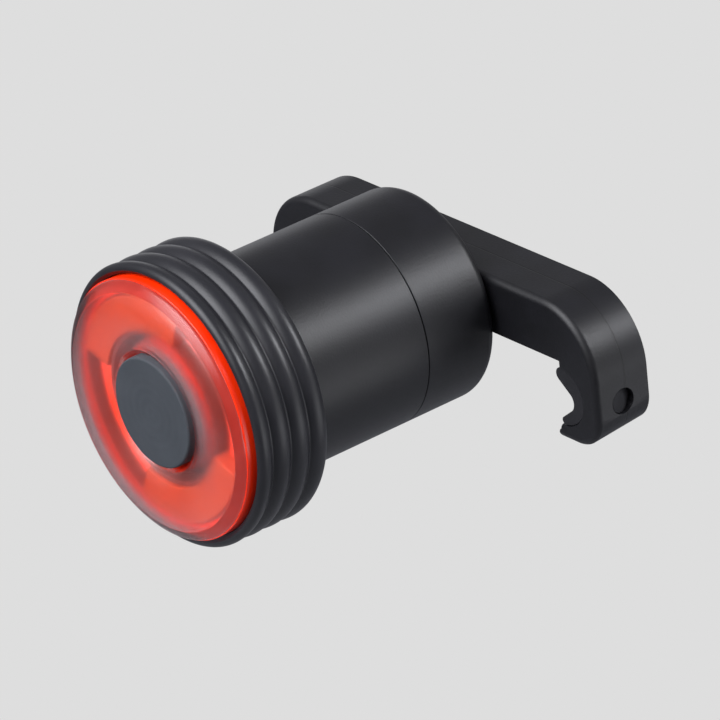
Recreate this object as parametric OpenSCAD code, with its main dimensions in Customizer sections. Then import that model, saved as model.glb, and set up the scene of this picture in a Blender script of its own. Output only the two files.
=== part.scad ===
// Bicycle rear light on a saddle-rail bracket.
// +X points across the bicycle, -Y is the way the lens faces, +Z is up.
// The origin is midway between the two saddle rails, at the middle of the bracket's width.

/* [Saddle rails] */
// Distance between the two rail centres
rail_spacing = 44; // [42:0.5:48]
// Diameter of a saddle rail
rail_d = 7; // [6.5:0.1:7.5]

/* [Bracket] */
// Width of the bracket along the rails
bracket_w = 8.35; // [7:0.05:12]
// Height of the cross arm
arm_h = 7.55; // [6:0.05:9]
// Top of the cross arm above the rail centres
arm_top = 12.9; // [12:0.1:15]
// Outer face of a hook beyond the rail centre
hook_reach = 9.4; // [9:0.1:12]
// Thickness of a hook's leg
leg_t = 6.5; // [6.3:0.1:7.5]
// Outer radius of the bend from arm to leg
bend_r = 9.2; // [8:0.1:10]
// Bottom of a hook below the rail centres
hook_drop = 5.5; // [5.2:0.1:7]
// Radius of the hook's outer bottom corner
hook_corner_r = 4.5; // [3:0.1:4.8]
// Rounding of the bracket's front edges
front_edge_r = 0.9; // [0.3:0.1:1.5]
// Rise of a hook's underside towards the back
foot_tilt = 5; // [0:0.5:6]
// Radius of the bayonet hub behind the tail cap
hub_r = 6.8; // [6.5:0.1:8]

/* [Rail pads] */
// Radius of the round seat that holds a pad
seat_r = 4; // [3.8:0.02:4.2]
// Height of the seat's centre above the rail centre
seat_rise = 0.5; // [0.2:0.1:0.8]
// Radius at the root of the pad's vee groove
groove_r = 1.5; // [1:0.1:1.8]
// Slope of the vee groove's flanks
vee_angle = 38; // [32:1:42]
// Diameter of the pad's locating stud
stud_d = 3.2; // [2.5:0.1:4]
// Height of the locating stud above the rail centre
stud_rise = 0.35; // [0:0.05:0.6]
// Depth of the stud's end below the hook's outer face
stud_recess = 0.9; // [0.3:0.1:1.5]
// Gap round the pad in its seat
pad_gap = 0.12; // [0.05:0.01:0.2]

/* [Lamp body] */
// Height of the lamp's axis above the rail centres
axis_z = 7.4; // [6:0.1:9]
// Radius of the barrel and tail cap
barrel_r = 14; // [13.5:0.1:16]
// Wall of the barrel and tail cap
wall = 1.8; // [1.6:0.1:2]
// Length of the tail cap
cap_len = 11.1; // [10:0.1:14]
// Rounding of the tail cap's rear edge
cap_edge_r = 1.5; // [1:0.1:2.5]
// Gap between the tail cap and the bracket
cap_gap = 0.35; // [0.3:0.05:0.8]
// Width of the seam line between barrel and cap
seam_gap = 0.15; // [0.1:0.05:0.3]
// Length of the barrel from the seam to the head ring
barrel_len = 19.05; // [18:0.05:24]
// Radius of the fillet where the barrel flares into the head
flare_r = 1.5; // [0.8:0.1:2]

/* [Head] */
// Height of the head ring's ribs above the barrel
head_step = 4.45; // [4.2:0.05:6]
// Distance between two ribs
rib_pitch = 2.85; // [2.7:0.05:3.2]
// Number of ribs
rib_count = 4; // [4:1:4]
// Radius of one rib's rounded crest
rib_r = 1.8; // [1.7:0.05:2.2]
// Width of the head ring's lip round the lens
lens_margin = 1.45; // [1.3:0.05:1.6]
// Height of the lens crest in front of the head ring
lens_rise = 2.65; // [2.2:0.05:3.5]
// Wall of the lens
lens_wall = 1.8; // [1.4:0.1:2]
// Radius of the push button
button_r = 7.8; // [6.5:0.1:8]
// Gap between the button and the lens
button_gap = 0.45; // [0.4:0.05:0.8]
// Depth of the button's face behind the lens crest
button_sink = 1.1; // [0.8:0.1:2]
// Travel of the push button
button_travel = 0.5; // [0.3:0.1:0.6]
// Roll of the light guides from upright
guide_roll = 25; // [0:1:45]

/* [Inside] */
// Diameter of the lithium cell
cell_d = 14; // [12:0.5:14.5]
// Thickness of the circuit boards
board_t = 1.2; // [1:0.1:1.6]

/* [Hidden] */
$fn = 96;
// Overlap that keeps a cut clean, overlap of two tangent curves and a length longer than the lamp
eps = 0.01;
blend = 0.01;
far = 100;
// Clearances: a bonded or screwed fit, a running fit, free room and the play of the bayonet lugs
fit = 0.05;
run = 0.06;
free = 0.3;
lug_play = 0.25;

// Bracket
rail_x = rail_spacing / 2;
outer_x = rail_x + hook_reach;
leg_x = outer_x - leg_t;
arm_low = arm_top - arm_h;
bend_x = outer_x - bend_r;
bend_z = arm_top - bend_r;
seat_x = leg_x - 0.14;
front_y = -bracket_w / 2;
back_y = bracket_w / 2;
lip_r = 0.72;
lip_x = leg_x - 0.4;
lip_h = 1.45;
corner_x = outer_x - hook_corner_r;
corner_z = hook_corner_r - hook_drop;
stud_hole_d = stud_d + 2 * pad_gap;

// Rail pad, in the plane of its profile
pad_r = seat_r - pad_gap;
groove_x = rail_x + (rail_d / 2 - groove_r) / sin(vee_angle) + 0.08;
top_nose_r = 0.95;
low_nose_r = 0.5;
pad_len = bracket_w - 0.3;

// Bayonet between lamp and bracket
hub_wall = 1.3;
chamber_r = hub_r - hub_wall;
lug_r = chamber_r - free;
neck_r = lug_r - 1.6;
lug_w = 4;
lug_t = 1;
lip_t = 1.2;
chamber_y = front_y + lip_t;
chamber_len = lug_t + 2 * lug_play;
hub_len = lip_t + chamber_len + 1;
key_w = neck_r * sqrt(2) - 0.1;
key_len = 1.2;
screw_r = 1;
screw_head_r = 2;
screw_head_t = 1.2;
screw_len = 6;

// Stations along the lamp's axis
cap_y = front_y - cap_gap;
seam_y = cap_y - cap_len;
ring_y = seam_y - barrel_len;
ring_back_r = 1.55;
first_rib_y = ring_y - ring_back_r;
last_rib_y = first_rib_y - (rib_count - 1) * rib_pitch;
ring_front_r = 0.85;
ring_front_y = last_rib_y - ring_front_r;
crest_y = ring_front_y - lens_rise;
button_y = crest_y + button_sink;

// Tail cap and its spigot joint
bore_r = barrel_r - wall;
cap_floor = 2.6;
spigot_r = barrel_r - 1.1;
spigot_in = spigot_r - 1.5;
spigot_len = 4;
boss_r = 4;
boss_len = 4;
seal_r = 0.4;
seal_y = seam_y + 2.2;

// Head: barrel cup, ring, lens seat
ring_r = barrel_r + head_step;
lens_r = ring_r - lens_margin;
cup_r = barrel_r + flare_r + 0.15;
ring_bore = cup_r + fit;
cup_wall = 1.45;
cup_in = cup_r - cup_wall;
shoulder_y = last_rib_y + rib_pitch + 0.1;
cup_y = shoulder_y - 0.2;
cup_depth = 4.4;
step_y = cup_y + cup_depth;
collar_len = 6;
collar_y = step_y + collar_len;
seal_t = 0.5;
lens_back_y = shoulder_y - seal_t - 2 * fit;
lip_chamfer = 0.5;
lens_bore = lens_r + 0.12;

// Lens form
shoulder_r = 0.5;
shoulder_land = 0.3;
dome_out_r = lens_r - shoulder_r - shoulder_land;
dome_in_r = button_r + button_gap + 0.6;
dome_h = 0.75;
dome_half = (dome_out_r - dome_in_r) / 2;
dome_r = (dome_half * dome_half + dome_h * dome_h) / (2 * dome_h);
dome_mid_r = (dome_out_r + dome_in_r) / 2;
shoulder_top_y = crest_y + dome_h;
lens_face_t = 0.8;
lens_face_y = shoulder_top_y + lens_face_t;
hole_r = button_r + button_gap;
tube_r = hole_r + 1;
tube_len = 3.4;
tube_y = lens_face_y + tube_len;

// Button and switch
flange_r = hole_r + 0.7;
flange_y = tube_y + free;
flange_t = 0.6;
button_edge_r = 0.5;
button_top_t = 1.6;
board_y = step_y;
board_front_y = board_y - board_t;
switch_w = 6;
switch_h = 3.4;
switch_y = board_front_y - switch_h;
plunger_r = 1.7;
plunger_out = 1;
plunger_in = 0.8;

// Reflector and light guides
mirror_in_r = tube_r + free;
mirror_wall = 0.5;
mirror_out_r = lens_r - lens_wall - 0.1;
mirror_floor_y = cup_y - fit;
mirror_floor_t = 0.7;
mirror_room = 0.9;
mirror_front_y = lens_face_y + mirror_room;
guide_room = 0.5;
guide_front_y = lens_face_y + guide_room;
guide_in_r = mirror_in_r + mirror_wall + 0.1;
guide_out_r = mirror_out_r - mirror_wall - 0.1;
guide_span = 96;
rib_mid_r = (guide_in_r + guide_out_r) / 2;
rib_ring_w = 2.4;
rib_ring_h = 1.8;
rib_ring_gap = 4;
led_count = 5;
led_r = rib_mid_r;
led_size = 1.6;
led_h = 0.8;
led_step = 20;
led_window_r = 1.3;
board_screw_r = 0.7;
board_screw_head_r = 1.1;
board_screw_head_t = 0.8;
board_screw_at = (spigot_in + barrel_r) / 2;
board_screw_len = 5;

// Cell, carrier and main board, heights from the lamp's axis
cell_clear = 0.9;
cell_rise = spigot_in - cell_clear - cell_d / 2;
plate_top = cell_rise - cell_d / 2 - fit;
plate_t = 1.4;
plate_low = plate_top - plate_t;
plate_half = sqrt(spigot_in * spigot_in - plate_low * plate_low) - 0.25;
stop_t = 1.2;
tab_t = 0.2;
tab_w = 4;
carrier_room = tab_t + 0.1;
carrier_front_y = board_y + 0.5;
carrier_back_y = cap_y - cap_floor - boss_len - 1;
carrier_len = carrier_back_y - carrier_front_y;
stop_inset = 2;
cell_front_y = carrier_front_y + stop_t + carrier_room;
cell_back_y = carrier_back_y - stop_t - carrier_room;
main_low = plate_low - board_t;
main_gap = 0.6;
main_w = 2 * (sqrt(spigot_in * spigot_in - main_low * main_low) - main_gap);
main_set = 3;
main_y = board_y + main_set;
main_len = carrier_back_y - 2.5 - main_y;
link_w = 5;
link_t = 0.4;
carrier_screw_r = 0.7;
carrier_screw_head_r = 1.2;
carrier_screw_head_t = 0.8;

// Charging port under the barrel, closed by a rubber flap
usb_len = 8.94;
usb_w = 3.26;
usb_wall = 0.3;
port_set = 10.4;
usb_y = seam_y - port_set;
port_clear = 0.25;
usb_low = -bore_r + 0.1;
tongue_in = 1.6;
tongue_len = 6.6;
tongue_t = 0.7;
flap_t = 1.15;
flap_w = 7;
flap_gap = 0.15;
hinge_gap = 0.12;
hinge_set = 4;
hinge_y = seam_y - hinge_set;
bead_r = 0.45;
bead_len = 5;
flap_end_y = usb_y - usb_len / 2 - 1.4;
root_y = hinge_y + bead_r + hinge_gap;
root_len = 3.2;
root_end_y = hinge_y + root_len;
root_mid_y = (root_y + root_end_y) / 2;
recess_r = barrel_r - flap_t - 0.1;
plug_w = 2;
plug_len = 7;
plug_in = 1.2;
root_stud_r = 0.8;
root_head_r = 1.4;

// Colours as the object shows them
black = "#2b2b2e";
slate = "#3e4246";

// Puts a shape whose local Z is the lamp's axis onto that axis
module on_axis() {
    translate([0, 0, axis_z])
        rotate([-90, 0, 0])
            children();
}

// Turns a profile of radius and station round the lamp's axis
module turned() {
    on_axis()
        rotate_extrude()
            children();
}

// Rectangle of a turned profile, from radius r0 to r1 and from station y0 to y1
module band(r0, r1, y0, y1) {
    translate([r0, y0])
        square([r1 - r0, y1 - y0]);
}

// Cylinder along Y
module rod(r, y0, y1) {
    translate([0, y0, 0])
        rotate([-90, 0, 0])
            cylinder(r = r, h = y1 - y0);
}

// Straight slot outline with round ends
module slot(len, w) {
    square([len - w, w], center = true);
    for (side = [-1, 1])
        translate([side * (len - w) / 2, 0])
            circle(d = w);
}

// Both hands of a shape drawn on the +X side
module both_hands() {
    children();
    mirror([1, 0, 0])
        children();
}

// Cross-section of the bracket: local X is outwards, local Y runs from front to back
module bracket_section(h) {
    translate([0, front_y + front_edge_r])
        square([h, bracket_w - front_edge_r]);
    translate([0, front_y])
        square([h - front_edge_r, front_edge_r]);
    translate([h - front_edge_r, front_y + front_edge_r])
        circle(r = front_edge_r);
}

// Cross arm between the two bends, its front upper edge rounded
module cross_arm() {
    translate([0, 0, arm_low])
        rotate([90, 0, 90])
            linear_extrude(2 * bend_x, center = true)
                rotate([0, 0, 90])
                    mirror([0, 1])
                        bracket_section(arm_h);
}

// Quarter turn of the bracket's section, from angle start clockwise seen from the lens side
module bend(x, z, r, start) {
    translate([x, 0, z])
        rotate([-90, 0, 0])
            rotate([0, 0, start])
                rotate_extrude(angle = 90)
                    bracket_section(r);
}

// Leg of the hook below the bend, rounded on its outer edges
module hook_leg() {
    translate([leg_x, 0, corner_z])
        linear_extrude(bend_z - corner_z)
            bracket_section(leg_t);
}

// Bottom of the hook and the lip below the rail
module hook_foot() {
    foot_h = corner_z + hook_drop;
    translate([lip_x, front_y, -hook_drop])
        cube([corner_x - lip_x, bracket_w, lip_h]);
    translate([leg_x, front_y, -hook_drop])
        cube([corner_x - leg_x, bracket_w, foot_h]);
    translate([lip_x, 0, lip_r - hook_drop])
        rod(lip_r, front_y, back_y);
}

// Cutter that lets the hook's underside and its outer corner rise towards the back
module foot_slope() {
    translate([0, front_y, -hook_drop])
        rotate([foot_tilt, 0, 0])
            difference() {
                translate([0, -eps, -far])
                    cube([far, far, far + hook_corner_r]);
                translate([0, -2 * eps, 0])
                    cube([corner_x, 2 * far, far]);
                translate([corner_x, 0, hook_corner_r])
                    rod(hook_corner_r, -2 * eps, 2 * far);
                translate([0, -2 * eps, -far])
                    cube([far, 2 * eps, 2 * far]);
            }
}

// Cutter that rounds the front edge below the lip, in line with the rounded corner beside it
module foot_edge() {
    translate([0, front_y, -hook_drop])
        difference() {
            translate([0, -eps, -eps])
                cube([corner_x, front_edge_r + eps, front_edge_r + eps]);
            translate([-eps, front_edge_r, front_edge_r])
                rotate([0, 90, 0])
                    cylinder(r = front_edge_r, h = far);
        }
}

// One hook with its pad seat and stud hole
module hook() {
    difference() {
        union() {
            difference() {
                bend(bend_x, bend_z, bend_r, -90);
                translate([bend_x - eps, -far, -far])
                    cube([leg_x - bend_x + eps, 2 * far, far + arm_low]);
            }
            hook_leg();
            bend(corner_x, corner_z, hook_corner_r, 0);
            hook_foot();
        }
        translate([seat_x, 0, seat_rise])
            rod(seat_r, -far, far);
        translate([seat_x, 0, stud_rise])
            rotate([0, 90, 0])
                cylinder(d = stud_hole_d, h = far);
        foot_slope();
        foot_edge();
    }
}

// Socket in the hub: entry bore, two entry slots and the chamber that the lugs turn in
module bayonet_socket() {
    on_axis() {
        translate([0, 0, front_y - eps])
            cylinder(r = neck_r + run, h = lip_t + 2 * eps);
        translate([0, 0, chamber_y])
            cylinder(r = chamber_r, h = chamber_len);
        translate([0, 0, front_y - eps])
            intersection() {
                cylinder(r = chamber_r, h = lip_t + 2 * eps);
                translate([-lug_w / 2 - free, -far, 0])
                    cube([lug_w + 2 * free, 2 * far, far]);
            }
    }
}

module bracket() {
    color(black)
        difference() {
            union() {
                cross_arm();
                both_hands()
                    hook();
                on_axis()
                    translate([0, 0, front_y])
                        cylinder(r = hub_r, h = hub_len);
            }
            bayonet_socket();
        }
}

// Centre of the rounded nose on one flank, tangent to the flank and to the pad's outer circle
function nose_centre(side, r) =
    let (
        normal = [sin(vee_angle), side * cos(vee_angle)],
        along = [-cos(vee_angle), side * sin(vee_angle)],
        start = [groove_x - seat_x, -seat_rise] + normal * (groove_r + r),
        reach = sqrt((start * along) ^ 2 - start * start + (pad_r - r) ^ 2) - start * along
    )
    [seat_x, seat_rise] + start + along * reach;

// Outline that keeps the pad behind both nose centres: across each flank and out to the seat
function pad_limit(side, centre, r) =
    let (
        normal = [sin(vee_angle), side * cos(vee_angle)],
        out = (centre - [seat_x, seat_rise]) / norm(centre - [seat_x, seat_rise])
    )
    [centre - normal * 2 * r, centre, centre + out * 2 * r];

// Profile of a rail pad: part of the seat's circle with a vee groove and two rounded noses
module pad_profile() {
    top = nose_centre(1, top_nose_r);
    low = nose_centre(-1, low_nose_r);
    low_limit = pad_limit(-1, low, low_nose_r);
    flank = [sin(vee_angle), cos(vee_angle)] * (groove_r - blend);
    spread = [-cos(vee_angle), sin(vee_angle)] * far;
    difference() {
        union() {
            intersection() {
                translate([seat_x, seat_rise])
                    circle(r = pad_r);
                polygon(concat(
                    pad_limit(1, top, top_nose_r),
                    [[far, far], [far, -far]],
                    [low_limit[2], low_limit[1], low_limit[0]]
                ));
            }
            translate(top)
                circle(r = top_nose_r + blend);
            translate(low)
                circle(r = low_nose_r + blend);
        }
        translate([groove_x, 0])
            circle(r = groove_r);
        translate([groove_x, 0])
            polygon([
                flank,
                flank + spread,
                [flank.x + spread.x, -flank.y - spread.y],
                [flank.x, -flank.y]
            ]);
    }
}

module rail_pad() {
    rotate([90, 0, 0])
        linear_extrude(pad_len, center = true)
            pad_profile();
    translate([seat_x + pad_r - 0.4, 0, stud_rise])
        rotate([0, 90, 0])
            cylinder(d = stud_d, h = outer_x - stud_recess - seat_x - pad_r + 0.4);
}

module rail_pad_right() {
    color(slate)
        rail_pad();
}

module rail_pad_left() {
    color(slate)
        mirror([1, 0, 0])
            rail_pad();
}

// Stud on the back of the lamp, with two lugs that lock behind the hub's lip
module bayonet_stud() {
    stud_end = chamber_y + chamber_len - lug_play;
    color(black)
        difference() {
            union() {
                on_axis()
                    translate([0, 0, cap_y])
                        cylinder(r = neck_r, h = stud_end - cap_y);
                on_axis()
                    translate([0, 0, chamber_y + lug_play])
                        intersection() {
                            cylinder(r = lug_r, h = lug_t);
                            translate([-far, -lug_w / 2, 0])
                                cube([2 * far, lug_w, far]);
                        }
                translate([-key_w / 2, cap_y - key_len, axis_z - key_w / 2])
                    cube([key_w, key_len + eps, key_w]);
            }
            on_axis()
                translate([0, 0, cap_y - far / 2])
                    cylinder(r = screw_r + fit, h = far);
            on_axis()
                translate([0, 0, stud_end - screw_head_t - 0.1])
                    cylinder(r = screw_head_r + 0.1, h = far);
        }
}

module stud_screw() {
    seat_y = chamber_y + chamber_len - lug_play - screw_head_t - 0.1;
    color("silver")
        on_axis()
            difference() {
                union() {
                    translate([0, 0, seat_y])
                        cylinder(r = screw_head_r, h = screw_head_t);
                    translate([0, 0, seat_y - screw_len])
                        cylinder(r = screw_r, h = screw_len + eps);
                }
                translate([0, 0, seat_y + screw_head_t - 0.7])
                    cylinder(r = 0.9, h = 2, $fn = 6);
            }
}

module tail_cap() {
    color(black)
        difference() {
            turned()
                difference() {
                    union() {
                        band(0, barrel_r, seam_y + seam_gap, cap_y - cap_edge_r);
                        band(0, barrel_r - cap_edge_r, seam_y + seam_gap, cap_y);
                        translate([barrel_r - cap_edge_r, cap_y - cap_edge_r])
                            circle(r = cap_edge_r);
                    }
                    band(boss_r, bore_r, seam_y, cap_y - cap_floor);
                    band(-eps, boss_r + eps, seam_y, cap_y - cap_floor - boss_len);
                    band(boss_r, spigot_r + fit, seam_y, seam_y + spigot_len + 0.2);
                }
            translate([-key_w / 2 - fit, cap_y - key_len - fit, axis_z - key_w / 2 - fit])
                cube([key_w + 2 * fit, far, key_w + 2 * fit]);
            on_axis()
                translate([0, 0, cap_y - cap_floor - boss_len - eps])
                    cylinder(r = screw_r + fit, h = far);
        }
}

module cap_seal() {
    color("#181818")
        turned()
            translate([spigot_r + fit / 2 - seal_r, seal_y])
                circle(r = seal_r);
}

// Charging port outline, long side along the barrel
module port_cut(len, w, low, high) {
    translate([0, usb_y, axis_z + low])
        linear_extrude(high - low)
            rotate([0, 0, 90])
                slot(len, w);
}

// Strip of the barrel's underside between two radii and two stations, w wide
module under_strip(r0, r1, y0, y1, w) {
    intersection() {
        turned()
            band(r0, r1, y0, y1);
        translate([-w / 2, y0 - eps, axis_z - far])
            cube([w, y1 - y0 + 2 * eps, far]);
    }
}

// Outline of the flap with a rounded free end, cut from the barrel's curved wall
module flap_body(r0, r1, y0, y1, w) {
    under_strip(r0, r1, y0 + w / 2, y1, w);
    intersection() {
        turned()
            band(r0, r1, y0 - eps, y0 + w / 2 + eps);
        translate([0, y0 + w / 2, axis_z - far])
            cylinder(d = w, h = far);
    }
}

module barrel() {
    color(black)
        difference() {
            turned()
                difference() {
                    union() {
                        band(0, barrel_r, ring_y, seam_y);
                        band(0, cup_r, cup_y, ring_y);
                        band(0, spigot_r, seam_y - eps, seam_y + spigot_len);
                        difference() {
                            band(barrel_r - eps, barrel_r + flare_r, ring_y - eps, ring_y + flare_r);
                            translate([barrel_r + flare_r, ring_y + flare_r])
                                circle(r = flare_r);
                        }
                    }
                    band(-eps, spigot_in, -far, far);
                    band(-eps, bore_r, collar_y, seam_y);
                    band(-eps, cup_in, -far, step_y);
                    band(spigot_r - 2 * seal_r, far, seal_y - seal_r - fit, seal_y + seal_r + fit);
                }
            flap_body(
                recess_r,
                far,
                flap_end_y - flap_gap,
                root_end_y + flap_gap,
                flap_w + 2 * flap_gap
            );
            port_cut(usb_len + 2 * port_clear, usb_w + 2 * port_clear, -far, -bore_r / 2);
            translate([0, root_mid_y, axis_z - far])
                cylinder(r = root_stud_r + fit, h = far);
            board_screw_places()
                translate([0, 0, -eps])
                    cylinder(r = board_screw_r + fit, h = board_screw_len + 0.5);
        }
}

// Two screw places on the barrel's step, between the light guides, local +Z pointing to the rear
module board_screw_places() {
    on_axis()
        for (side = [0, 180])
            rotate([0, 0, side - guide_roll])
                translate([board_screw_at, 0, step_y])
                    children();
}

module head_ring() {
    color(black)
        turned()
            difference() {
                union() {
                    band(ring_bore, ring_r - rib_r, last_rib_y, ring_y);
                    intersection() {
                        for (rib = [0 : rib_count - 1])
                            translate([ring_r - rib_r, first_rib_y - rib * rib_pitch])
                                circle(r = rib_r);
                        band(0, far, last_rib_y, first_rib_y);
                    }
                    translate([ring_r - ring_back_r, first_rib_y])
                        circle(r = ring_back_r);
                    band(ring_bore, ring_r - ring_back_r, first_rib_y - eps, ring_y);
                    translate([ring_r - ring_front_r, last_rib_y])
                        circle(r = ring_front_r);
                    band(ring_bore, ring_r - ring_front_r, ring_front_y, last_rib_y + eps);
                }
                band(-eps, ring_bore, -far, far);
                band(-eps, lens_bore, -far, shoulder_y);
                polygon([
                    [lens_bore - eps, ring_front_y - eps],
                    [lens_bore + lip_chamfer, ring_front_y - eps],
                    [lens_bore - eps, ring_front_y + lip_chamfer]
                ]);
            }
}

module lens() {
    color("#d8301f", 0.6)
        turned()
            difference() {
                union() {
                    band(0, lens_r, shoulder_top_y + shoulder_r, lens_back_y);
                    band(0, lens_r - shoulder_r, shoulder_top_y, lens_back_y);
                    translate([lens_r - shoulder_r, shoulder_top_y + shoulder_r])
                        circle(r = shoulder_r);
                    intersection() {
                        translate([dome_mid_r, crest_y + dome_r])
                            circle(r = dome_r);
                        band(dome_in_r, dome_out_r, crest_y - eps, shoulder_top_y + eps);
                    }
                }
                band(tube_r, lens_r - lens_wall, lens_face_y, far);
                band(-eps, tube_r + eps, tube_y, far);
                band(-eps, hole_r, -far, far);
            }
}

module lens_seal() {
    color("#181818")
        turned()
            band(ring_bore + 0.2, lens_r - 0.1, shoulder_y - seal_t - fit, shoulder_y - fit);
}

// Places along one light guide, in line with its light chips
module led_places() {
    on_axis()
        for (side = [0, 180])
            for (place = [0 : led_count - 1])
                rotate([0, 0, 90 - guide_roll + side + (place - (led_count - 1) / 2) * led_step])
                    translate([led_r, 0, 0])
                        children();
}

module reflector() {
    floor_front_y = mirror_floor_y - mirror_floor_t;
    color("#b4231a")
        difference() {
            union() {
                turned() {
                    band(mirror_in_r, mirror_in_r + mirror_wall, mirror_front_y, board_front_y - fit);
                    band(mirror_in_r, mirror_out_r, floor_front_y, mirror_floor_y);
                    band(mirror_out_r - mirror_wall, mirror_out_r, mirror_front_y, mirror_floor_y);
                }
                ring_sectors(
                    180 - guide_span - rib_ring_gap,
                    90,
                    rib_mid_r - rib_ring_w / 2,
                    rib_mid_r + rib_ring_w / 2,
                    floor_front_y - rib_ring_h,
                    floor_front_y + mirror_floor_t / 2
                );
            }
            led_places()
                translate([0, 0, floor_front_y - eps])
                    cylinder(r = led_window_r, h = far);
        }
}

// Two opposite ring sectors, span degrees wide and turned from the light guides, between two radii
// and two stations
module ring_sectors(span, turn, r0, r1, y0, y1) {
    on_axis()
        for (side = [0, 180])
            rotate([0, 0, 90 - guide_roll + turn + side - span / 2])
                translate([0, 0, y0])
                    rotate_extrude(angle = span)
                        translate([r0, 0])
                            square([r1 - r0, y1 - y0]);
}

module light_guides() {
    color("#f0503c")
        ring_sectors(
            guide_span,
            0,
            guide_in_r,
            guide_out_r,
            guide_front_y,
            mirror_floor_y - mirror_floor_t
        );
}

module leds() {
    color("#f4e6c8")
        led_places()
            translate([-led_size / 2, -led_size / 2, board_front_y - led_h])
                cube([led_size, led_size, led_h]);
}

module led_board() {
    color("#e8e8e4")
        difference() {
            on_axis()
                translate([0, 0, board_front_y])
                    cylinder(r = cup_in - 0.1, h = board_t);
            board_screw_places()
                translate([0, 0, -far / 2])
                    cylinder(r = board_screw_r + 0.1, h = far);
        }
}

module board_screws() {
    color("silver")
        board_screw_places() {
            translate([0, 0, -board_t - eps])
                cylinder(r = board_screw_r, h = board_screw_len + board_t);
            translate([0, 0, -board_t - board_screw_head_t])
                cylinder(r = board_screw_head_r, h = board_screw_head_t);
        }
}

module tact_switch() {
    color("#202020")
        difference() {
            translate([-switch_w / 2, switch_y, axis_z - switch_w / 2])
                cube([switch_w, switch_h, switch_w]);
            on_axis()
                translate([0, 0, switch_y - eps])
                    cylinder(r = plunger_r + run, h = plunger_in + button_travel + 0.4);
        }
}

module switch_plunger() {
    color("#e0e0d8")
        on_axis()
            translate([0, 0, switch_y - plunger_out])
                cylinder(r = plunger_r, h = plunger_out + plunger_in);
}

module button_cap() {
    stem_end = switch_y - plunger_out;
    color(slate)
        turned() {
            difference() {
                union() {
                    band(0, button_r - button_edge_r, button_y, flange_y + flange_t);
                    band(0, button_r, button_y + button_edge_r, flange_y + flange_t);
                    translate([button_r - button_edge_r, button_y + button_edge_r])
                        circle(r = button_edge_r);
                    band(0, flange_r, flange_y, flange_y + flange_t);
                }
                band(plunger_r, button_r - 1.3, button_y + button_top_t, far);
                band(-eps, plunger_r + eps, stem_end, far);
            }
            band(0, plunger_r, button_y + button_top_t - eps, stem_end);
        }
}

module link_cable() {
    color("#b06a2c")
        translate([-link_w / 2, board_y, axis_z + plate_low - link_t])
            cube([link_w, main_y - board_y, link_t]);
}

// Screw places that hold the main board under the carrier
module carrier_screw_places() {
    for (x = [-1, 1])
        translate([x * (main_w / 2 - 2), main_y + main_len - 2.5, axis_z + plate_low])
            children();
}

module main_board() {
    color("#1f5a34")
        difference() {
            translate([-main_w / 2, main_y, axis_z + main_low])
                cube([main_w, main_len, board_t]);
            carrier_screw_places()
                translate([0, 0, -far / 2])
                    cylinder(r = carrier_screw_r + 0.1, h = far);
        }
}

module usb_socket() {
    color("silver")
        difference() {
            port_cut(usb_len, usb_w, usb_low, main_low);
            difference() {
                port_cut(usb_len - 2 * usb_wall, usb_w - 2 * usb_wall, usb_low - eps, main_low - 1);
                translate([-tongue_t / 2, usb_y - tongue_len / 2, axis_z + usb_low + tongue_in])
                    cube([tongue_t, tongue_len, main_low - usb_low]);
            }
        }
}

module cell_carrier() {
    low = axis_z + plate_low;
    color("#d8d4c8")
        difference() {
            union() {
                translate([-plate_half, carrier_front_y, low])
                    cube([2 * plate_half, carrier_len, plate_t]);
                for (y = [carrier_front_y, carrier_back_y - stop_t])
                    translate([-plate_half + stop_inset, y, low])
                        cube([2 * (plate_half - stop_inset), stop_t, cell_d / 2 + plate_t]);
            }
            for (y = [cell_front_y - carrier_room - eps, cell_back_y])
                translate([-tab_w / 2 - 0.2, y, low - eps])
                    cube([tab_w + 0.4, carrier_room + eps, plate_t + 1]);
            carrier_screw_places()
                translate([0, 0, -eps])
                    cylinder(r = carrier_screw_r + fit, h = plate_t + 1);
        }
}

module carrier_screws() {
    color("silver")
        carrier_screw_places() {
            translate([0, 0, -board_t - eps])
                cylinder(r = carrier_screw_r, h = board_t + plate_t - 0.1);
            translate([0, 0, -board_t - carrier_screw_head_t])
                cylinder(r = carrier_screw_head_r, h = carrier_screw_head_t);
        }
}

module cell() {
    color("#3a6ea8")
        translate([0, 0, axis_z + cell_rise])
            rod(cell_d / 2, cell_front_y, cell_back_y);
}

// Nickel strips from the cell's two ends down to the main board
module cell_tabs() {
    color("silver")
        for (y = [cell_front_y - tab_t, cell_back_y])
            translate([-tab_w / 2, y, axis_z + plate_low])
                cube([tab_w, tab_t, cell_rise - plate_low]);
}

// Fixed end of the charging port's rubber flap, plugged into the barrel
module flap_root() {
    color("#262629") {
        under_strip(recess_r + 0.1, barrel_r, root_y, root_end_y, flap_w);
        translate([0, root_mid_y, axis_z - barrel_r + 0.4])
            cylinder(r = root_stud_r, h = barrel_r - bore_r + 0.2);
        translate([0, root_mid_y, axis_z - bore_r + 0.2])
            cylinder(r = root_head_r, h = 0.8);
    }
}

// Swinging part of the flap, with its round hinge bead and the plug that closes the port
module port_flap() {
    color("#262629") {
        flap_body(recess_r + 0.1, barrel_r, flap_end_y, hinge_y, flap_w);
        translate([-bead_len / 2, hinge_y, axis_z - barrel_r])
            rotate([0, 90, 0])
                cylinder(r = bead_r, h = bead_len);
        port_cut(plug_len, plug_w, -recess_r - 0.4, usb_low + plug_in);
    }
}

bracket();
rail_pad_left();
rail_pad_right();
bayonet_stud();
stud_screw();
tail_cap();
cap_seal();
barrel();
head_ring();
lens();
lens_seal();
reflector();
light_guides();
leds();
led_board();
board_screws();
tact_switch();
switch_plunger();
button_cap();
link_cable();
main_board();
usb_socket();
cell_carrier();
carrier_screws();
cell();
cell_tabs();
flap_root();
port_flap();
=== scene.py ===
import math

import bmesh
import bpy
from mathutils import Matrix, Vector


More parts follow.
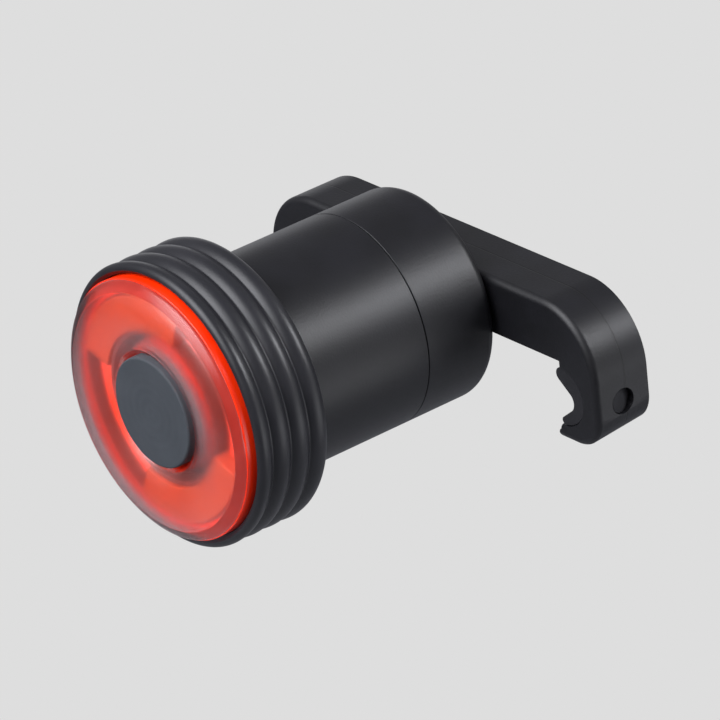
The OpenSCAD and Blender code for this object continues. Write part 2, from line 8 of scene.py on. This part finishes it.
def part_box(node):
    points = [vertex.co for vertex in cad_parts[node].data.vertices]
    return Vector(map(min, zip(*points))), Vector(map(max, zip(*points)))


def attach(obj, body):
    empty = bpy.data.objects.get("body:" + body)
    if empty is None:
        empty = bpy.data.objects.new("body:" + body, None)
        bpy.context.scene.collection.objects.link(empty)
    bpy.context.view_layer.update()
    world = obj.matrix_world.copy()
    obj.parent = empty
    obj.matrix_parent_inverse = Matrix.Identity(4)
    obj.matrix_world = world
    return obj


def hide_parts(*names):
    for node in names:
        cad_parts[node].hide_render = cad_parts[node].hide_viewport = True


# Bicycle rear light on a saddle-rail bracket. Lengths here are millimetres, and MM turns them to metres.
# The lamp's axis runs along Y: the lens faces -Y, and a turned profile is a list of (radius, station).

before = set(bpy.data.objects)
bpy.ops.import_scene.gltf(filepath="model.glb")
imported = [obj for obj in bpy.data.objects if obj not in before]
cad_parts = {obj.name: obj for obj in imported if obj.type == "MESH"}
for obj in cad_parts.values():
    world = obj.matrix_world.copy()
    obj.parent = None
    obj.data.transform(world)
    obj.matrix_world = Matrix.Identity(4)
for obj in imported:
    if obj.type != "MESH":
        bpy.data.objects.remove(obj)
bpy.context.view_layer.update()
scene = bpy.context.scene
MM = 0.001
TURN_STEPS = 192
MERGE = 1e-4

# Places taken from the CAD parts
RING_LOW, RING_HIGH = (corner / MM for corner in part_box("head_ring"))
LENS_LOW, LENS_HIGH = (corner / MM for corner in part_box("lens"))
BUTTON_LOW, BUTTON_HIGH = (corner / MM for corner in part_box("button_cap"))
BARREL_LOW, BARREL_HIGH = (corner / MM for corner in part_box("barrel"))
HOOK_LOW, HOOK_HIGH = (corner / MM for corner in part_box("bracket"))
AXIS_Z = (RING_LOW.z + RING_HIGH.z) / 2
RING_R = (RING_HIGH.x - RING_LOW.x) / 2
LENS_R = (LENS_HIGH.x - LENS_LOW.x) / 2
FLANGE_R = (BUTTON_HIGH.x - BUTTON_LOW.x) / 2
CUP_R = (BARREL_HIGH.x - BARREL_LOW.x) / 2


# Small helpers

def linear(hex_colour):
    """Turns an sRGB hex value such as "#2b2b2e" to a linear colour with alpha."""
    channels = [int(hex_colour[k:k + 2], 16) / 255 for k in (1, 3, 5)]
    return (*[c / 12.92 if c <= 0.04045 else ((c + 0.055) / 1.055) ** 2.4 for c in channels], 1.0)


def per_mm(size):
    """Scale of a texture whose features are about size millimetres."""
    return 1 / (size * MM)


def add(tree, kind, settings=(), stops=(), **links):
    """Adds a node, sets its properties, sockets and colour stops, and links its sockets.

    A link's source is a socket, or a node for its first output. A name such as _1 is a socket's number.
    """
    node = tree.nodes.new(kind)
    for name, value in dict(settings).items():
        if isinstance(name, int) or name in node.inputs:
            node.inputs[name].default_value = value
        else:
            setattr(node, name, value)
    for k, (position, colour) in enumerate(stops):
        points = node.color_ramp.elements
        point = points[k] if k < 2 else points.new(position)
        point.position = position
        point.color = linear(colour)
    for name, source in links.items():
        socket = int(name[1:]) if name[0] == "_" else name.replace("_", " ")
        output = source.outputs[0] if isinstance(source, bpy.types.Node) else source
        tree.links.new(output, node.inputs[socket])
    return node


def new_material(name):
    """Gives an empty material, its node tree and its Object coordinates."""
    material = bpy.data.materials.new(name)
    material.use_nodes = True
    tree = material.node_tree
    tree.nodes.clear()
    return material, tree, add(tree, "ShaderNodeTexCoord").outputs["Object"]


# Materials: depth of a mould's grain, and a parting line's half width, soft edge and colour
GRAIN_DEPTH = 0.02
PARTING_HALF = 0.05
PARTING_EDGE = 0.13
PARTING_DARK = "#0a0a0b"


def moulded_plastic(name, dark, pale, grain, gloss, parting_y=None):
    """Glass-filled nylon from a spark-eroded mould: near black, with a satin sheen broken by a fine grain.

    The grain of such a mould is about 0.05 mm, and is drawn coarser so that it shows.
    A parting line, where given, is the thin dark step that the two halves of the mould leave at that station.
    """
    material, tree, place = new_material(name)
    fine = add(tree, "ShaderNodeTexNoise", {"Scale": per_mm(grain), "Detail": 3.0}, Vector=place)
    cloud = add(tree, "ShaderNodeTexNoise", {"Scale": per_mm(6.0), "Detail": 2.0}, Vector=place)
    colour = add(tree, "ShaderNodeValToRGB", stops=[(0.3, dark), (0.7, pale)], Fac=cloud)
    rough = add(tree, "ShaderNodeMapRange", {"To Min": gloss - 0.04, "To Max": gloss + 0.06}, Value=fine)
    height = fine
    if parting_y is not None:
        station = add(tree, "ShaderNodeSeparateXYZ", Vector=place).outputs["Y"]
        offset = add(tree, "ShaderNodeMath", {"operation": "SUBTRACT", 1: parting_y * MM}, _0=station)
        away = add(tree, "ShaderNodeMath", {"operation": "ABSOLUTE"}, _0=offset)
        fade = {"From Min": PARTING_HALF * MM, "From Max": PARTING_EDGE * MM, "To Min": 1.0, "To Max": 0.0}
        line = add(tree, "ShaderNodeMapRange", fade, Value=away)
        dark_line = {"data_type": "RGBA", "B": linear(PARTING_DARK)}
        colour = add(tree, "ShaderNodeMix", dark_line, Factor=line, A=colour).outputs["Result"]
        height = add(tree, "ShaderNodeMath", {"operation": "SUBTRACT"}, _0=fine, _1=line)
    bump = add(tree, "ShaderNodeBump", {"Strength": 0.7, "Distance": GRAIN_DEPTH * MM}, Height=height)
    shader = add(
        tree, "ShaderNodeBsdfPrincipled", {"IOR": 1.5, "Specular IOR Level": 0.36},
        Base_Color=colour, Roughness=rough, Normal=bump,
    )
    add(tree, "ShaderNodeOutputMaterial", Surface=shader)
    return material


def moulded_rubber(name, dark, pale, bloom):
    """Silicone rubber from a blasted mould: soft and matt, with pale dust and bloom in broad faint clouds."""
    material, tree, place = new_material(name)
    fine = add(tree, "ShaderNodeTexNoise", {"Scale": per_mm(0.2), "Detail": 2.0}, Vector=place)
    cloud = add(tree, "ShaderNodeTexNoise", {"Scale": per_mm(bloom), "Detail": 3.0}, Vector=place)
    colour = add(tree, "ShaderNodeValToRGB", stops=[(0.3, dark), (0.7, pale)], Fac=cloud)
    rough = add(tree, "ShaderNodeMapRange", {"To Min": 0.58, "To Max": 0.72}, Value=fine)
    bump = add(tree, "ShaderNodeBump", {"Strength": 0.3, "Distance": GRAIN_DEPTH * MM}, Height=fine)
    shader = add(
        tree, "ShaderNodeBsdfPrincipled", {"IOR": 1.42, "Specular IOR Level": 0.3},
        Base_Color=colour, Roughness=rough, Normal=bump,
    )
    add(tree, "ShaderNodeOutputMaterial", Surface=shader)
    return material


def clear_acrylic(name):
    """Acrylic from a finely stoned mould: clear, but soft in its highlights and in what shows through it.

    The faint waviness that moulding leaves makes the softness uneven.
    """
    material, tree, place = new_material(name)
    wave = add(tree, "ShaderNodeTexNoise", {"Scale": per_mm(7.0), "Detail": 1.0}, Vector=place)
    rough = add(tree, "ShaderNodeMapRange", {"To Min": 0.17, "To Max": 0.23}, Value=wave)
    bump = add(tree, "ShaderNodeBump", {"Strength": 0.01, "Distance": 0.1 * MM}, Height=wave)
    shader = add(
        tree, "ShaderNodeBsdfPrincipled",
        {"Base Color": linear("#fff2f0"), "Transmission Weight": 1.0, "IOR": 1.49},
        Roughness=rough, Normal=bump,
    )
    add(tree, "ShaderNodeOutputMaterial", Surface=shader)
    return material


def lamp_radius(tree, place):
    """Distance of a point from the lamp's axis."""
    apart = add(tree, "ShaderNodeSeparateXYZ", Vector=place).outputs
    upward = add(tree, "ShaderNodeMath", {"operation": "SUBTRACT", 1: AXIS_Z * MM}, _0=apart["Z"])
    flat = add(tree, "ShaderNodeCombineXYZ", X=apart["X"], Y=upward)
    return add(tree, "ShaderNodeVectorMath", {"operation": "LENGTH"}, _0=flat).outputs["Value"]


def red_tray(name, painted_shade_red, bright, wall, glow):
    """Red ABS from a polished mould: bright on a band round the tray, darker towards its hub and its rim.

    The darker red is painted shade where the floor lies deep; the emission, a faint glow, is painted light.
    """
    # Radial colour zones: the darker red towards hub and rim is painted shade
    zones = [
        (9.0, painted_shade_red), (11.0, painted_shade_red), (11.34, bright), (13.68, bright),
        (14.2, painted_shade_red), (14.65, painted_shade_red), (14.85, wall),
    ]
    start = zones[0][0]
    span = zones[-1][0] - start
    stops = [((radius - start) / span, colour) for radius, colour in zones]
    material, tree, place = new_material(name)
    reach = {"From Min": start * MM, "From Max": (start + span) * MM}
    share = add(tree, "ShaderNodeMapRange", reach, Value=lamp_radius(tree, place))
    colour = add(tree, "ShaderNodeValToRGB", stops=stops, Fac=share)
    cloud = add(tree, "ShaderNodeTexNoise", {"Scale": per_mm(3.0), "Detail": 2.0}, Vector=place)
    rough = add(tree, "ShaderNodeMapRange", {"To Min": 0.22, "To Max": 0.4}, Value=cloud)
    # Emission Strength is painted light: a glow that lifts the tray's shaded places
    shader = add(
        tree, "ShaderNodeBsdfPrincipled", {"Emission Strength": glow, "Specular IOR Level": 0.25},
        Base_Color=colour, Emission_Color=colour, Roughness=rough,
    )
    add(tree, "ShaderNodeOutputMaterial", Surface=shader)
    return material


def milky_guide(name, dark, pale, gloss, glow):
    """Diffusing acrylic: bright red, milky and even, with faint clouds; any emission is painted light."""
    material, tree, place = new_material(name)
    cloud = add(tree, "ShaderNodeTexNoise", {"Scale": per_mm(4.0), "Detail": 2.0}, Vector=place)
    colour = add(tree, "ShaderNodeValToRGB", stops=[(0.3, dark), (0.7, pale)], Fac=cloud)
    colour.color_ramp.interpolation = "EASE"
    rough = add(tree, "ShaderNodeMapRange", {"To Min": 0.15, "To Max": 0.25}, Value=cloud)
    # Emission Strength is painted light: a glow that lifts shaded faces
    shader = add(
        tree, "ShaderNodeBsdfPrincipled", {"Emission Strength": glow, "Specular IOR Level": gloss},
        Base_Color=colour, Emission_Color=colour, Roughness=rough,
    )
    add(tree, "ShaderNodeOutputMaterial", Surface=shader)
    return material


def plain_part(name, dark, pale, size, gloss, metallic=0.0):
    """A small inner part: one colour with the mottle that its making leaves, size millimetres across."""
    material, tree, place = new_material(name)
    cloud = add(tree, "ShaderNodeTexNoise", {"Scale": per_mm(size), "Detail": 3.0}, Vector=place)
    colour = add(tree, "ShaderNodeValToRGB", stops=[(0.3, dark), (0.7, pale)], Fac=cloud)
    rough = add(tree, "ShaderNodeMapRange", {"To Min": gloss - 0.06, "To Max": gloss + 0.06}, Value=cloud)
    shader = add(
        tree, "ShaderNodeBsdfPrincipled", {"Metallic": metallic}, Base_Color=colour, Roughness=rough
    )
    add(tree, "ShaderNodeOutputMaterial", Surface=shader)
    return material


PARTING_Y = 0.55
BLACK_NYLON = moulded_plastic("nylon_moulded_satin", "#0f0f12", "#141418", 0.28, 0.40)
BRACKET_NYLON = moulded_plastic("nylon_moulded_bracket", "#0d0d10", "#131317", 0.34, 0.44, PARTING_Y)
RING_NYLON = moulded_plastic("nylon_moulded_ring", "#1a1a1e", "#212125", 0.28, 0.36)
PAD_RUBBER = moulded_rubber("rubber_moulded_pad", "#1c1c1f", "#232326", 5.0)
FLAP_RUBBER = moulded_rubber("rubber_moulded_flap", "#17171a", "#1d1d20", 4.0)
SEAL_RUBBER = moulded_rubber("rubber_moulded_seal", "#121214", "#18181a", 4.0)
BUTTON_RUBBER = moulded_rubber("silicone_moulded_button", "#373b40", "#3e4247", 6.0)
CLEAR_LENS = clear_acrylic("acrylic_moulded_clear")
# The tray's darker red towards hub and rim is painted shade, and its emission is painted light
TRAY_RED = red_tray("abs_polished_red", "#6c2a24", "#dc3c26", "#d82a08", 0.72)
RIM_RED = milky_guide("acrylic_red_second_shot", "#f02a02", "#f63006", 0.4, 0.0)
# A darker copy of the red second shot with a glow: painted shade and painted light on the inner walls
RIM_PAINTED_SHADE_AND_GLOW = milky_guide("acrylic_red_painted_shade_and_glow", "#902a22", "#983028", 0.1, 0.8)
# The fans' emission is painted light, a glow on their shaded end faces
GUIDE_RED = milky_guide("acrylic_milky_red", "#b43c22", "#ba4226", 0.1, 0.16)


# Modelling: angles in degrees past which shading breaks, a copy's edge is rounded and its flat faces join
SHARP = 40
COPY_SHARP = 50
COPY_CORNER = 38
COPY_FLAT = 0.4


def make_piece(name, bm, material, body, nodes, sharp=SHARP):
    """Makes a finished object of a bmesh that rides on a body and stands for its CAD nodes."""
    bmesh.ops.remove_doubles(bm, verts=bm.verts, dist=MERGE * MM)
    mesh = bpy.data.meshes.new(name)
    bm.to_mesh(mesh)
    bm.free()
    mesh.shade_smooth()
    mesh.set_sharp_from_angle(angle=math.radians(sharp))
    mesh.materials.append(material)
    piece = bpy.data.objects.new(name, mesh)
    scene.collection.objects.link(piece)
    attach(piece, body)
    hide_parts(*nodes)
    return piece


def arc(centre, radius, start, end, steps=12):
    """Points of (radius, station) on a circle; 0 degrees points outwards and 90 towards the lens."""
    turns = [math.radians(start + (end - start) * k / steps) for k in range(steps + 1)]
    return [(centre[0] + radius * math.cos(t), centre[1] - radius * math.sin(t)) for t in turns]


def turned(outline):
    """Spins a closed outline of (radius, station) points round the lamp's axis."""
    bm = bmesh.new()
    axis = Vector((0, 0, AXIS_Z * MM))
    points = [bm.verts.new((r * MM, y * MM, AXIS_Z * MM)) for r, y in outline]
    edges = [bm.edges.new(pair) for pair in zip(points, points[1:] + points[:1])]
    bmesh.ops.spin(
        bm, geom=points + edges, cent=axis, axis=(0, 1, 0), angle=math.tau, steps=TURN_STEPS, use_merge=True
    )
    bmesh.ops.remove_doubles(bm, verts=bm.verts, dist=MERGE * MM)
    bmesh.ops.dissolve_degenerate(bm, edges=bm.edges, dist=MERGE * MM / 10)
    bmesh.ops.recalc_face_normals(bm, faces=bm.faces)
    return bm


def round_edges(bm, edges, offset, segments):
    """Rounds edges by offset millimetres."""
    bmesh.ops.bevel(
        bm, geom=edges, offset=offset * MM, offset_type="OFFSET", affect="EDGES",
        segments=segments, profile=0.5, material=-1, clamp_overlap=True,
    )


def dressed_copy(node, name, material, body, edge):
    """Merged copy of a CAD node whose sharp edges are rounded by edge millimetres."""
    bm = bmesh.new()
    bm.from_mesh(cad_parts[node].data)
    bmesh.ops.remove_doubles(bm, verts=bm.verts, dist=2 * MERGE * MM)
    bmesh.ops.dissolve_limit(bm, angle_limit=math.radians(COPY_FLAT), verts=bm.verts, edges=bm.edges)
    if edge:
        corner = math.radians(COPY_CORNER)
        round_edges(bm, [e for e in bm.edges if e.is_manifold and e.calc_face_angle() > corner], edge, 2)
    piece = make_piece(name, bm, material, body, [node], COPY_SHARP)
    weighted = piece.modifiers.new("even_shading", "WEIGHTED_NORMAL")
    weighted.keep_sharp = True
    return piece


# Pad studs: the end lies almost flush at the front of its hole and deep at the back
STUD_LIFT = 0.85
STUD_TIP = 0.27
STUD_END = 0.01


def tip_stud(piece):
    """Lifts the end of a pad's stud and tips it backwards."""
    points = piece.data.vertices
    reach = max(abs(point.co.x) for point in points)
    end = [point for point in points if abs(point.co.x) > reach - STUD_END * MM]
    front = min(point.co.y for point in end)
    for point in end:
        lift = STUD_LIFT * MM - STUD_TIP * (point.co.y - front)
        point.co.x += math.copysign(lift, point.co.x)


# Hook lips: the rounded end of each hook below its rail, level above and rising below
LIP_R = 0.98
LIP_BACK_R = 0.68
LIP_EDGE_R = 0.5
LIP_IN = 7.6
LIP_LIFT = 0.12
LIP_STEPS = 48


def hook_lips():
    length = HOOK_HIGH.y - HOOK_LOW.y
    lean = math.atan((LIP_R - LIP_BACK_R) / length)
    across = HOOK_HIGH.x - LIP_IN + LIP_R
    level = HOOK_LOW.z + LIP_LIFT + (3 * LIP_R - LIP_BACK_R) / 2
    bm = bmesh.new()
    for side in (-1, 1):
        made = bmesh.ops.create_cone(
            bm, cap_ends=True, segments=LIP_STEPS,
            radius1=LIP_R * MM, radius2=LIP_BACK_R * MM, depth=length * MM,
        )["verts"]
        edges = {e for v in made for e in v.link_edges}
        rims = [e for e in edges if len(e.link_faces[0].verts) != len(e.link_faces[1].verts)]
        middle = Vector((side * across, (HOOK_LOW.y + HOOK_HIGH.y) / 2, level))
        place = Matrix.Translation(middle * MM) @ Matrix.Rotation(lean - math.pi / 2, 4, "X")
        bmesh.ops.transform(bm, matrix=place, verts=made)
        round_edges(bm, rims, LIP_EDGE_R, 4)
    bmesh.ops.recalc_face_normals(bm, faces=bm.faces)
    make_piece("hook_lips", bm, BRACKET_NYLON, "bracket", ["bracket"])


# Head ring: four rounded ribs with soft valleys, a rounded back and a chamfered lip round the lens
RIB_PITCH = 2.85
RIB_R = 1.8
RIB_COUNT = 4
VALLEY_R = 0.25
RING_BACK_R = 1.55
RING_FRONT_R = 0.85
RING_BORE = CUP_R + 0.05
LENS_BORE = LENS_R + 0.12
LIP_CHAMFER = 0.5
SHOULDER_IN = RIB_PITCH + 0.1


def head_ring():
    first = RING_HIGH.y - RING_BACK_R
    last = first - (RIB_COUNT - 1) * RIB_PITCH
    crest = RING_R - RIB_R
    half = RIB_PITCH / 2
    lean = math.degrees(math.asin(half / (RIB_R + VALLEY_R)))
    valley = math.sqrt((RIB_R + VALLEY_R) ** 2 - half ** 2)
    outline = arc((RING_R - RING_BACK_R, first), RING_BACK_R, -90, 0)
    for rib in range(RIB_COUNT):
        y = first - rib * RIB_PITCH
        start = 0 if rib == 0 else -lean
        end = 0 if rib == RIB_COUNT - 1 else lean
        outline += arc((crest, y), RIB_R, start, end)
        if rib < RIB_COUNT - 1:
            outline += arc((crest + valley, y - half), VALLEY_R, 180 + lean, 180 - lean, 6)
    outline += arc((RING_R - RING_FRONT_R, last), RING_FRONT_R, 0, 90)
    outline += [
        (LENS_BORE + LIP_CHAMFER, RING_LOW.y),
        (LENS_BORE, RING_LOW.y + LIP_CHAMFER),
        (LENS_BORE, last + SHOULDER_IN),
        (RING_BORE, last + SHOULDER_IN),
        (RING_BORE, RING_HIGH.y),
    ]
    make_piece("head_ring_shell", turned(outline), RING_NYLON, "lamp", ["head_ring"])


# Lens: a crowned clear shell with a rolled mouth round the button, and a red second shot on its side
# Light passes through both, so they cast no shadow
CREST_R = 12.4
CROWN_LIFT = 0.36
CROWN_T = 1.0
SIDE_SLOPE_R = 6.5
SIDE_EDGE_R = 0.6
MOUTH_SLOPE_R = 8.4
MOUTH_EDGE_R = 0.6
EDGE_STEPS = 10
CROWN_STEPS = 40
CROWN_SHARP = 32
SIDE_R = LENS_R - 0.15
LENS_WALL = 1.8
BUTTON_HOLE_R = 7.55
TUBE_WALL = 0.7
TUBE_BACK = 4.95
BAND_LAP = 0.05
BAND_EDGE_R = 0.12
UPRIGHT = 0.1
PAINT_REACH = 0.02


def crown(reach, slope_r, edge_r, inset=0.0):
    """Points from the crest down a round slope and over a rolled edge to a wall, set in along normals."""
    side = math.copysign(1, reach)
    turn = math.asin((abs(reach) - edge_r) / (slope_r - edge_r))
    hub = (CREST_R, LENS_LOW.y - CROWN_LIFT + slope_r)
    rim = (CREST_R + reach - side * edge_r, hub[1] - (slope_r - edge_r) * math.cos(turn))
    end = 90 - side * math.degrees(turn)
    points = arc(hub, slope_r - inset, 90, end, CROWN_STEPS)
    if edge_r > inset:
        points += arc(rim, edge_r - inset, end, 90 - side * 90, EDGE_STEPS)[1:]
    return points


def paint(piece, radius, material):
    """Gives a turned piece's upright faces at a radius another material."""
    piece.data.materials.append(material)
    for face in piece.data.polygons:
        out = math.hypot(face.center.x / MM, face.center.z / MM - AXIS_Z)
        if abs(face.normal.y) < UPRIGHT and abs(out - radius) < PAINT_REACH:
            face.material_index = len(piece.data.materials) - 1


def lens():
    tube = LENS_LOW.y + TUBE_BACK
    inner = LENS_R - LENS_WALL
    tube_r = BUTTON_HOLE_R + TUBE_WALL
    side = (SIDE_R - CREST_R, SIDE_SLOPE_R, SIDE_EDGE_R)
    mouth = (BUTTON_HOLE_R - CREST_R, MOUTH_SLOPE_R, MOUTH_EDGE_R)
    outline = crown(*side)[::-1] + crown(*mouth)[1:] + [(BUTTON_HOLE_R, tube), (tube_r, tube)]
    under = crown(*mouth, CROWN_T)[::-1] + crown(*side, CROWN_T)[1:]
    under = [point for point in under if tube_r < point[0] < inner]
    outline += [(tube_r, under[0][1])] + under + [(inner, under[-1][1])]
    outline += [(inner, LENS_HIGH.y), (SIDE_R, LENS_HIGH.y)]
    clear = make_piece("lens_crown", turned(outline), CLEAR_LENS, "lamp", ["lens"], CROWN_SHARP)
    paint(clear, tube_r, RIM_RED)
    # The lens's inner wall gets the darker, glowing red: painted shade and painted light
    paint(clear, inner, RIM_PAINTED_SHADE_AND_GLOW)
    clear.visible_shadow = False

    front = outline[0][1] + BAND_LAP
    back = LENS_HIGH.y - BAND_LAP
    band_r = SIDE_R - BAND_LAP
    outline = [(band_r, front)]
    outline += arc((LENS_R - BAND_EDGE_R, front + BAND_EDGE_R), BAND_EDGE_R, 90, 0, 6)
    outline += [(LENS_R, back), (band_r, back)]
    band = make_piece("lens_side_band", turned(outline), RIM_RED, "lamp", ["lens"])
    # The band's inner face gets the darker, glowing red: painted shade and painted light
    paint(band, band_r, RIM_PAINTED_SHADE_AND_GLOW)
    band.visible_shadow = False


# Button: a soft disc with faint concentric rings on its face, a rounded edge and a flange behind the lens
BUTTON_R = 7.2
BUTTON_LIFT = 0.53
BUTTON_EDGE_R = 0.3
BUTTON_TOP_T = 1.6
FLANGE_T = 0.6
SKIRT_R = BUTTON_R - 1.3
STEM_R = 1.7
RING_DEPTH = 0.025
RING_SPACING = 1.3
FACE_STEPS = 60


def button_cap():
    face = BUTTON_LOW.y - BUTTON_LIFT
    under = face + BUTTON_TOP_T
    back = BUTTON_HIGH.y
    flange = back - FLANGE_T
    flat_r = BUTTON_R - BUTTON_EDGE_R
    outline = []
    for k in range(FACE_STEPS):
        r = flat_r * k / FACE_STEPS
        wave = (1 + math.cos(math.tau * r / RING_SPACING)) / 2
        outline.append((r, face + RING_DEPTH * (1 - (r / flat_r) ** 2) * wave))
    outline += arc((flat_r, face + BUTTON_EDGE_R), BUTTON_EDGE_R, 90, 0, 10)
    outline += [
        (BUTTON_R, flange), (FLANGE_R, flange), (FLANGE_R, back), (SKIRT_R, back),
        (SKIRT_R, under), (STEM_R, under), (STEM_R, back), (0, back),
    ]
    make_piece("button_face", turned(outline), BUTTON_RUBBER, "button", ["button_cap"])


hook_lips()
head_ring()
lens()
button_cap()

# Pieces whose CAD shape is right: (node, piece, material, body, slot, edge rounding)
# Light passes through the milky fans, so they cast no shadow
COPIES = [
    ("bracket", "bracket_shell", BRACKET_NYLON, "bracket", "black_polymer", 0.08),
    ("rail_pad_left", "pad_left", PAD_RUBBER, "bracket", "pad_rubber", 0),
    ("rail_pad_right", "pad_right", PAD_RUBBER, "bracket", "pad_rubber", 0),
    ("bayonet_stud", "bayonet", BLACK_NYLON, "lamp", "black_polymer", 0.1),
    ("tail_cap", "tail_cap_shell", BLACK_NYLON, "lamp", "black_polymer", 0.2),
    ("barrel", "barrel_shell", BLACK_NYLON, "lamp", "black_polymer", 0.2),
    ("reflector", "red_tray", TRAY_RED, "lamp", "reflector_red", 0.06),
    ("light_guides", "guide_fans", GUIDE_RED, "lamp", "guide_diffuser", 0.2),
    ("flap_root", "flap_tab", FLAP_RUBBER, "lamp", "flap_rubber", 0.12),
    ("port_flap", "flap_cover", FLAP_RUBBER, "flap", "flap_rubber", 0.12),
]
for node, name, material, body, slot, edge in COPIES:
    piece = dressed_copy(node, name, material, body, edge)
    piece.visible_shadow = material != GUIDE_RED
    if material == PAD_RUBBER:
        tip_stud(piece)

# Inner pieces keep their CAD shape: (material, nodes)
INNER = [
    (plain_part("steel_plated_screw", "#8f9193", "#a4a6a8", 0.6, 0.32, 1.0),
     ["stud_screw", "board_screws", "carrier_screws"]),
    (plain_part("steel_drawn_socket", "#9a9c9e", "#b0b2b4", 0.8, 0.28, 1.0), ["usb_socket"]),
    (plain_part("nickel_strip_rolled", "#a8a39a", "#bab5ab", 0.7, 0.3, 1.0), ["cell_tabs"]),
    (SEAL_RUBBER, ["cap_seal", "lens_seal"]),
    (plain_part("led_epoxy_cast", "#e6d9a8", "#f2e8c0", 0.5, 0.4), ["leds"]),
    (plain_part("laminate_white_printed", "#dcdcd6", "#e8e8e2", 1.2, 0.5), ["led_board"]),
    (plain_part("laminate_green_printed", "#1c4c2c", "#245c36", 1.2, 0.42), ["main_board"]),
    (plain_part("switch_nylon_moulded", "#18181a", "#202022", 0.6, 0.5), ["tact_switch"]),
    (plain_part("acetal_moulded_plunger", "#d4d4cc", "#e0e0d8", 0.6, 0.45), ["switch_plunger"]),
    (plain_part("polyimide_film_pressed", "#8a4c18", "#a05c20", 0.8, 0.35), ["link_cable"]),
    (plain_part("abs_moulded_natural", "#cfcabc", "#dad6ca", 1.5, 0.5), ["cell_carrier"]),
    (plain_part("sleeve_shrunk_blue", "#2c5c92", "#3568a2", 2.0, 0.35), ["cell"]),
]
for material, nodes in INNER:
    for node in nodes:
        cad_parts[node].data.materials.clear()
        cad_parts[node].data.materials.append(material)

# Stage: a pale floor well below the held lamp, in a pale room
scene.view_settings.view_transform = "Standard"
PALE = "#dedede"
BOUNCE = "#8e8f93"
ROOM = "#dadade"
ROOM_FILL = 0.38
FLOOR_DROP = 300
FLOOR_HALF = 4000


def pale_floor():
    bm = bmesh.new()
    bmesh.ops.create_grid(bm, x_segments=2, y_segments=2, size=FLOOR_HALF * MM)
    bmesh.ops.translate(bm, verts=bm.verts, vec=(0, 0, -FLOOR_DROP * MM))
    mesh = bpy.data.meshes.new("floor")
    bm.to_mesh(mesh)
    bm.free()
    material = bpy.data.materials.new("paper_pale_matt")
    material.use_nodes = True
    tree = material.node_tree
    tree.nodes.clear()
    matt = add(tree, "ShaderNodeBsdfDiffuse", {"Color": linear(BOUNCE)})
    glow = add(tree, "ShaderNodeEmission", {"Color": linear(PALE), "Strength": 1.0})
    seen = add(tree, "ShaderNodeLightPath").outputs["Is Camera Ray"]
    both = add(tree, "ShaderNodeMixShader", _0=seen, _1=matt, _2=glow)
    add(tree, "ShaderNodeOutputMaterial", Surface=both)
    mesh.materials.append(material)
    floor = bpy.data.objects.new("floor", mesh)
    scene.collection.objects.link(floor)


def pale_room():
    world = bpy.data.worlds.new("pale_room")
    scene.world = world
    world.use_nodes = True
    tree = world.node_tree
    tree.nodes.clear()
    fill = add(tree, "ShaderNodeBackground", {"Color": linear(ROOM), "Strength": ROOM_FILL})
    wall = add(tree, "ShaderNodeBackground", {"Color": linear(PALE), "Strength": 1.0})
    seen = add(tree, "ShaderNodeLightPath").outputs["Is Camera Ray"]
    both = add(tree, "ShaderNodeMixShader", _0=seen, _1=fill, _2=wall)
    add(tree, "ShaderNodeOutputWorld", Surface=both)


# Lights: (name, azimuth, elevation, width, height, radiance)
# Azimuth 0 is in front of the lens, and 90 on the +X side
LIGHT_AIM = Vector((0, -20, AXIS_Z))
LIGHT_DISTANCE = 600
COOL = (0.95, 0.96, 1.0)
LIGHTS = [
    ("rear_key", 135, 30, 340, 340, 28),
    ("rear_fill", 118, -20, 900, 700, 2.6),
    ("back_glow", -126, -2, 800, 420, 0.9),
    ("front_key", -6, 48, 1080, 1200, 9.6),
]


def softbox(name, azimuth, elevation, width, height, radiance):
    """Area light that faces the lamp and fades to its rim, as a diffused studio box does."""
    a = math.radians(azimuth)
    e = math.radians(elevation)
    out = Vector((math.sin(a) * math.cos(e), -math.cos(a) * math.cos(e), math.sin(e)))
    data = bpy.data.lights.new(name, "AREA")
    data.shape = "RECTANGLE"
    data.size = width * MM
    data.size_y = height * MM
    data.energy = radiance * math.pi * data.size * data.size_y
    data.color = COOL
    data.use_nodes = True
    tree = data.node_tree
    spot = add(tree, "ShaderNodeNewGeometry").outputs["Parametric"]
    offset = add(tree, "ShaderNodeVectorMath", {"operation": "SUBTRACT", 1: (0.5, 0.5, 0.0)}, _0=spot)
    away = add(tree, "ShaderNodeVectorMath", {"operation": "LENGTH"}, _0=offset).outputs["Value"]
    soft = {"interpolation_type": "SMOOTHSTEP", "From Max": 0.5, "To Min": 1.0, "To Max": 0.0}
    fade = add(tree, "ShaderNodeMapRange", soft, Value=away)
    tree.links.new(fade.outputs[0], tree.nodes["Emission"].inputs["Strength"])
    light = bpy.data.objects.new(name, data)
    light.location = (LIGHT_AIM + out * LIGHT_DISTANCE) * MM
    light.rotation_euler = out.to_track_quat("Z", "Y").to_euler()
    light.visible_camera = False
    scene.collection.objects.link(light)


# Camera at the photograph's angle
CAMERA_AT = Vector((558.7, -435.06, 348.85))
CAMERA_AIM = Vector((2.2, -17.2, 3.3))
CAMERA_ROLL = -6.23
CAMERA_LENS = 315.1


def photo_camera():
    data = bpy.data.cameras.new("photo_camera")
    data.lens = CAMERA_LENS
    data.sensor_width = 36
    data.clip_start = 0.01
    data.clip_end = 50
    camera = bpy.data.objects.new("photo_camera", data)
    level = (CAMERA_AIM - CAMERA_AT).to_track_quat("-Z", "Y").to_matrix()
    rolled = level @ Matrix.Rotation(math.radians(CAMERA_ROLL), 3, "Z")
    camera.matrix_world = Matrix.Translation(CAMERA_AT * MM) @ rolled.to_4x4()
    scene.collection.objects.link(camera)
    scene.camera = camera


pale_floor()
pale_room()
for light in LIGHTS:
    softbox(*light)
photo_camera()
